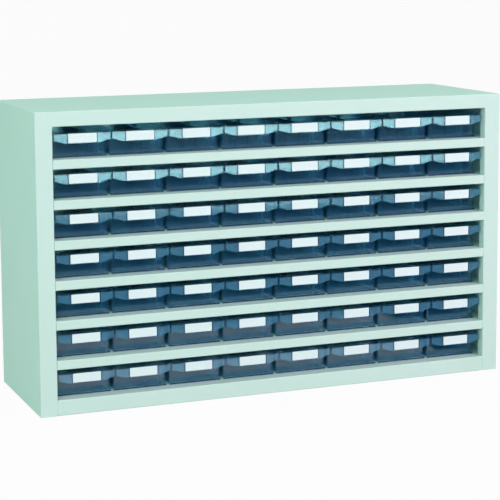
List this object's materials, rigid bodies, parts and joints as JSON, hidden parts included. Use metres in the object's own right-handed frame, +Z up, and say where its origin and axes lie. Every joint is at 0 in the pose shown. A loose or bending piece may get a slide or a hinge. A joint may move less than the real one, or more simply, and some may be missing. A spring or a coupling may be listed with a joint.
{
  "type": "parts bin cabinet",
  "caption": "Sheet steel cabinet with rows of small clear plastic drawers, each with a hooded handle, a label card and a divider plate.",
  "frame": {"origin": "centre of the footprint, on the surface that the cabinet stands on", "axes": "+X along the front to the right as seen from the front, +Y from the front to the back, +Z up"},
  "size_m": [0.88, 0.27, 0.52],
  "materials": {
    "case_paint": "satin",
    "drawer_plastic": "gloss",
    "label_card": "matte"
  },
  "bodies": {
    "case": {"outer_case": "case_paint", "back_panel": "case_paint", "bottom_panel": "case_paint", "shelves": "case_paint"},
    "drawer_r1_c1": {"drawer_r1_c1": "drawer_plastic"},
    "drawer_r1_c2": {"drawer_r1_c2": "drawer_plastic"},
    "drawer_r1_c3": {"drawer_r1_c3": "drawer_plastic"},
    "drawer_r1_c4": {"drawer_r1_c4": "drawer_plastic"},
    "drawer_r1_c5": {"drawer_r1_c5": "drawer_plastic"},
    "drawer_r1_c6": {"drawer_r1_c6": "drawer_plastic"},
    "drawer_r1_c7": {"drawer_r1_c7": "drawer_plastic"},
    "drawer_r1_c8": {"drawer_r1_c8": "drawer_plastic"},
    "drawer_r2_c1": {"drawer_r2_c1": "drawer_plastic"},
    "drawer_r2_c2": {"drawer_r2_c2": "drawer_plastic"},
    "drawer_r2_c3": {"drawer_r2_c3": "drawer_plastic"},
    "drawer_r2_c4": {"drawer_r2_c4": "drawer_plastic"},
    "drawer_r2_c5": {"drawer_r2_c5": "drawer_plastic"},
    "drawer_r2_c6": {"drawer_r2_c6": "drawer_plastic"},
    "drawer_r2_c7": {"drawer_r2_c7": "drawer_plastic"},
    "drawer_r2_c8": {"drawer_r2_c8": "drawer_plastic"},
    "drawer_r3_c1": {"drawer_r3_c1": "drawer_plastic"},
    "drawer_r3_c2": {"drawer_r3_c2": "drawer_plastic"},
    "drawer_r3_c3": {"drawer_r3_c3": "drawer_plastic"},
    "drawer_r3_c4": {"drawer_r3_c4": "drawer_plastic"},
    "drawer_r3_c5": {"drawer_r3_c5": "drawer_plastic"},
    "drawer_r3_c6": {"drawer_r3_c6": "drawer_plastic"},
    "drawer_r3_c7": {"drawer_r3_c7": "drawer_plastic"},
    "drawer_r3_c8": {"drawer_r3_c8": "drawer_plastic"},
    "drawer_r4_c1": {"drawer_r4_c1": "drawer_plastic"},
    "drawer_r4_c2": {"drawer_r4_c2": "drawer_plastic"},
    "drawer_r4_c3": {"drawer_r4_c3": "drawer_plastic"},
    "drawer_r4_c4": {"drawer_r4_c4": "drawer_plastic"},
    "drawer_r4_c5": {"drawer_r4_c5": "drawer_plastic"},
    "drawer_r4_c6": {"drawer_r4_c6": "drawer_plastic"},
    "drawer_r4_c7": {"drawer_r4_c7": "drawer_plastic"},
    "drawer_r4_c8": {"drawer_r4_c8": "drawer_plastic"},
    "drawer_r5_c1": {"drawer_r5_c1": "drawer_plastic"},
    "drawer_r5_c2": {"drawer_r5_c2": "drawer_plastic"},
    "drawer_r5_c3": {"drawer_r5_c3": "drawer_plastic"},
    "drawer_r5_c4": {"drawer_r5_c4": "drawer_plastic"},
    "drawer_r5_c5": {"drawer_r5_c5": "drawer_plastic"},
    "drawer_r5_c6": {"drawer_r5_c6": "drawer_plastic"},
    "drawer_r5_c7": {"drawer_r5_c7": "drawer_plastic"},
    "drawer_r5_c8": {"drawer_r5_c8": "drawer_plastic"},
    "drawer_r6_c1": {"drawer_r6_c1": "drawer_plastic"},
    "drawer_r6_c2": {"drawer_r6_c2": "drawer_plastic"},
    "drawer_r6_c3": {"drawer_r6_c3": "drawer_plastic"},
    "drawer_r6_c4": {"drawer_r6_c4": "drawer_plastic"},
    "drawer_r6_c5": {"drawer_r6_c5": "drawer_plastic"},
    "drawer_r6_c6": {"drawer_r6_c6": "drawer_plastic"},
    "drawer_r6_c7": {"drawer_r6_c7": "drawer_plastic"},
    "drawer_r6_c8": {"drawer_r6_c8": "drawer_plastic"},
    "drawer_r7_c1": {"drawer_r7_c1": "drawer_plastic"},
    "drawer_r7_c2": {"drawer_r7_c2": "drawer_plastic"},
    "drawer_r7_c3": {"drawer_r7_c3": "drawer_plastic"},
    "drawer_r7_c4": {"drawer_r7_c4": "drawer_plastic"},
    "drawer_r7_c5": {"drawer_r7_c5": "drawer_plastic"},
    "drawer_r7_c6": {"drawer_r7_c6": "drawer_plastic"},
    "drawer_r7_c7": {"drawer_r7_c7": "drawer_plastic"},
    "drawer_r7_c8": {"drawer_r7_c8": "drawer_plastic"}
  },
  "joints": [
    {"name": "slide_r1_c1", "type": "slide", "parent": "case", "child": "drawer_r1_c1", "axis": [0, -1, 0], "range_m": [0, 0.17]},
    {"name": "slide_r1_c2", "type": "slide", "parent": "case", "child": "drawer_r1_c2", "axis": [0, -1, 0], "range_m": [0, 0.17]},
    {"name": "slide_r1_c3", "type": "slide", "parent": "case", "child": "drawer_r1_c3", "axis": [0, -1, 0], "range_m": [0, 0.17]},
    {"name": "slide_r1_c4", "type": "slide", "parent": "case", "child": "drawer_r1_c4", "axis": [0, -1, 0], "range_m": [0, 0.17]},
    {"name": "slide_r1_c5", "type": "slide", "parent": "case", "child": "drawer_r1_c5", "axis": [0, -1, 0], "range_m": [0, 0.17]},
    {"name": "slide_r1_c6", "type": "slide", "parent": "case", "child": "drawer_r1_c6", "axis": [0, -1, 0], "range_m": [0, 0.17]},
    {"name": "slide_r1_c7", "type": "slide", "parent": "case", "child": "drawer_r1_c7", "axis": [0, -1, 0], "range_m": [0, 0.17]},
    {"name": "slide_r1_c8", "type": "slide", "parent": "case", "child": "drawer_r1_c8", "axis": [0, -1, 0], "range_m": [0, 0.17]},
    {"name": "slide_r2_c1", "type": "slide", "parent": "case", "child": "drawer_r2_c1", "axis": [0, -1, 0], "range_m": [0, 0.17]},
    {"name": "slide_r2_c2", "type": "slide", "parent": "case", "child": "drawer_r2_c2", "axis": [0, -1, 0], "range_m": [0, 0.17]},
    {"name": "slide_r2_c3", "type": "slide", "parent": "case", "child": "drawer_r2_c3", "axis": [0, -1, 0], "range_m": [0, 0.17]},
    {"name": "slide_r2_c4", "type": "slide", "parent": "case", "child": "drawer_r2_c4", "axis": [0, -1, 0], "range_m": [0, 0.17]},
    {"name": "slide_r2_c5", "type": "slide", "parent": "case", "child": "drawer_r2_c5", "axis": [0, -1, 0], "range_m": [0, 0.17]},
    {"name": "slide_r2_c6", "type": "slide", "parent": "case", "child": "drawer_r2_c6", "axis": [0, -1, 0], "range_m": [0, 0.17]},
    {"name": "slide_r2_c7", "type": "slide", "parent": "case", "child": "drawer_r2_c7", "axis": [0, -1, 0], "range_m": [0, 0.17]},
    {"name": "slide_r2_c8", "type": "slide", "parent": "case", "child": "drawer_r2_c8", "axis": [0, -1, 0], "range_m": [0, 0.17]},
    {"name": "slide_r3_c1", "type": "slide", "parent": "case", "child": "drawer_r3_c1", "axis": [0, -1, 0], "range_m": [0, 0.17]},
    {"name": "slide_r3_c2", "type": "slide", "parent": "case", "child": "drawer_r3_c2", "axis": [0, -1, 0], "range_m": [0, 0.17]},
    {"name": "slide_r3_c3", "type": "slide", "parent": "case", "child": "drawer_r3_c3", "axis": [0, -1, 0], "range_m": [0, 0.17]},
    {"name": "slide_r3_c4", "type": "slide", "parent": "case", "child": "drawer_r3_c4", "axis": [0, -1, 0], "range_m": [0, 0.17]},
    {"name": "slide_r3_c5", "type": "slide", "parent": "case", "child": "drawer_r3_c5", "axis": [0, -1, 0], "range_m": [0, 0.17]},
    {"name": "slide_r3_c6", "type": "slide", "parent": "case", "child": "drawer_r3_c6", "axis": [0, -1, 0], "range_m": [0, 0.17]},
    {"name": "slide_r3_c7", "type": "slide", "parent": "case", "child": "drawer_r3_c7", "axis": [0, -1, 0], "range_m": [0, 0.17]},
    {"name": "slide_r3_c8", "type": "slide", "parent": "case", "child": "drawer_r3_c8", "axis": [0, -1, 0], "range_m": [0, 0.17]},
    {"name": "slide_r4_c1", "type": "slide", "parent": "case", "child": "drawer_r4_c1", "axis": [0, -1, 0], "range_m": [0, 0.17]},
    {"name": "slide_r4_c2", "type": "slide", "parent": "case", "child": "drawer_r4_c2", "axis": [0, -1, 0], "range_m": [0, 0.17]},
    {"name": "slide_r4_c3", "type": "slide", "parent": "case", "child": "drawer_r4_c3", "axis": [0, -1, 0], "range_m": [0, 0.17]},
    {"name": "slide_r4_c4", "type": "slide", "parent": "case", "child": "drawer_r4_c4", "axis": [0, -1, 0], "range_m": [0, 0.17]},
    {"name": "slide_r4_c5", "type": "slide", "parent": "case", "child": "drawer_r4_c5", "axis": [0, -1, 0], "range_m": [0, 0.17]},
    {"name": "slide_r4_c6", "type": "slide", "parent": "case", "child": "drawer_r4_c6", "axis": [0, -1, 0], "range_m": [0, 0.17]},
    {"name": "slide_r4_c7", "type": "slide", "parent": "case", "child": "drawer_r4_c7", "axis": [0, -1, 0], "range_m": [0, 0.17]},
    {"name": "slide_r4_c8", "type": "slide", "parent": "case", "child": "drawer_r4_c8", "axis": [0, -1, 0], "range_m": [0, 0.17]},
    {"name": "slide_r5_c1", "type": "slide", "parent": "case", "child": "drawer_r5_c1", "axis": [0, -1, 0], "range_m": [0, 0.17]},
    {"name": "slide_r5_c2", "type": "slide", "parent": "case", "child": "drawer_r5_c2", "axis": [0, -1, 0], "range_m": [0, 0.17]},
    {"name": "slide_r5_c3", "type": "slide", "parent": "case", "child": "drawer_r5_c3", "axis": [0, -1, 0], "range_m": [0, 0.17]},
    {"name": "slide_r5_c4", "type": "slide", "parent": "case", "child": "drawer_r5_c4", "axis": [0, -1, 0], "range_m": [0, 0.17]},
    {"name": "slide_r5_c5", "type": "slide", "parent": "case", "child": "drawer_r5_c5", "axis": [0, -1, 0], "range_m": [0, 0.17]},
    {"name": "slide_r5_c6", "type": "slide", "parent": "case", "child": "drawer_r5_c6", "axis": [0, -1, 0], "range_m": [0, 0.17]},
    {"name": "slide_r5_c7", "type": "slide", "parent": "case", "child": "drawer_r5_c7", "axis": [0, -1, 0], "range_m": [0, 0.17]},
    {"name": "slide_r5_c8", "type": "slide", "parent": "case", "child": "drawer_r5_c8", "axis": [0, -1, 0], "range_m": [0, 0.17]},
    {"name": "slide_r6_c1", "type": "slide", "parent": "case", "child": "drawer_r6_c1", "axis": [0, -1, 0], "range_m": [0, 0.17]},
    {"name": "slide_r6_c2", "type": "slide", "parent": "case", "child": "drawer_r6_c2", "axis": [0, -1, 0], "range_m": [0, 0.17]},
    {"name": "slide_r6_c3", "type": "slide", "parent": "case", "child": "drawer_r6_c3", "axis": [0, -1, 0], "range_m": [0, 0.17]},
    {"name": "slide_r6_c4", "type": "slide", "parent": "case", "child": "drawer_r6_c4", "axis": [0, -1, 0], "range_m": [0, 0.17]},
    {"name": "slide_r6_c5", "type": "slide", "parent": "case", "child": "drawer_r6_c5", "axis": [0, -1, 0], "range_m": [0, 0.17]},
    {"name": "slide_r6_c6", "type": "slide", "parent": "case", "child": "drawer_r6_c6", "axis": [0, -1, 0], "range_m": [0, 0.17]},
    {"name": "slide_r6_c7", "type": "slide", "parent": "case", "child": "drawer_r6_c7", "axis": [0, -1, 0], "range_m": [0, 0.17]},
    {"name": "slide_r6_c8", "type": "slide", "parent": "case", "child": "drawer_r6_c8", "axis": [0, -1, 0], "range_m": [0, 0.17]},
    {"name": "slide_r7_c1", "type": "slide", "parent": "case", "child": "drawer_r7_c1", "axis": [0, -1, 0], "range_m": [0, 0.17]},
    {"name": "slide_r7_c2", "type": "slide", "parent": "case", "child": "drawer_r7_c2", "axis": [0, -1, 0], "range_m": [0, 0.17]},
    {"name": "slide_r7_c3", "type": "slide", "parent": "case", "child": "drawer_r7_c3", "axis": [0, -1, 0], "range_m": [0, 0.17]},
    {"name": "slide_r7_c4", "type": "slide", "parent": "case", "child": "drawer_r7_c4", "axis": [0, -1, 0], "range_m": [0, 0.17]},
    {"name": "slide_r7_c5", "type": "slide", "parent": "case", "child": "drawer_r7_c5", "axis": [0, -1, 0], "range_m": [0, 0.17]},
    {"name": "slide_r7_c6", "type": "slide", "parent": "case", "child": "drawer_r7_c6", "axis": [0, -1, 0], "range_m": [0, 0.17]},
    {"name": "slide_r7_c7", "type": "slide", "parent": "case", "child": "drawer_r7_c7", "axis": [0, -1, 0], "range_m": [0, 0.17]},
    {"name": "slide_r7_c8", "type": "slide", "parent": "case", "child": "drawer_r7_c8", "axis": [0, -1, 0], "range_m": [0, 0.17]}
  ]
}
